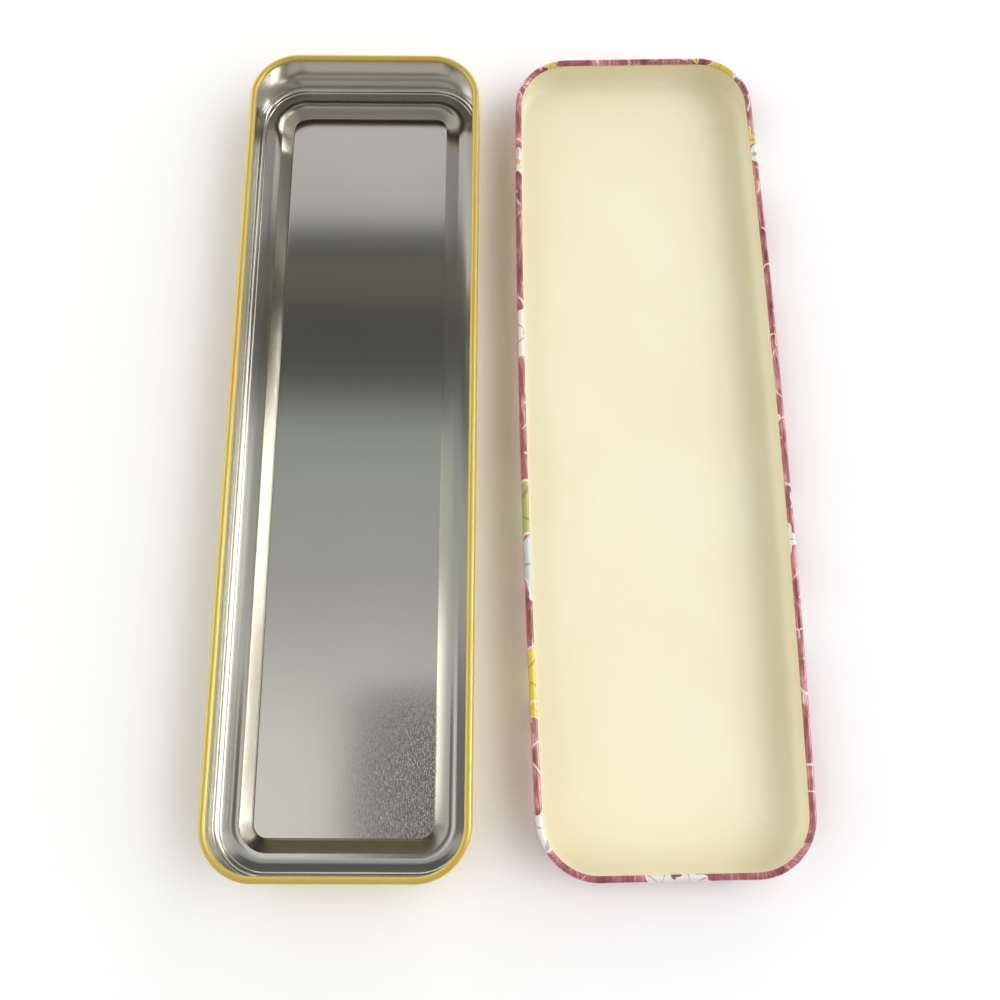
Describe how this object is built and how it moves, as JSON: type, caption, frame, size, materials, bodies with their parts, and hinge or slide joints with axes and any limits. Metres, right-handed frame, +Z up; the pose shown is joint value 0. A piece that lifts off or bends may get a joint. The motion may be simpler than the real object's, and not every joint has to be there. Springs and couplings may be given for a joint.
{
  "type": "pencil tin",
  "caption": "Flat rounded-corner pencil tin: deep open tray with a curled rim and embossed floor, and its slip-on lid lying upside down beside it.",
  "frame": {"origin": "centre of the base's standing ring, on the surface that the base and the lid lie on", "axes": "+Z up out of the open base, +Y along the length of the tin, +X across it towards the lid"},
  "size_m": [0.124, 0.1918, 0.0146],
  "materials": {
    "base_lacquer": "gloss",
    "lid_print": "gloss"
  },
  "bodies": {
    "base": {"base": "base_lacquer"},
    "lid": {"lid": "lid_print"}
  },
  "joints": [
    {"name": "lid_lift", "type": "slide", "parent": "base", "child": "lid", "axis": [0, 0, 1], "range_m": [0, 0.05]}
  ]
}
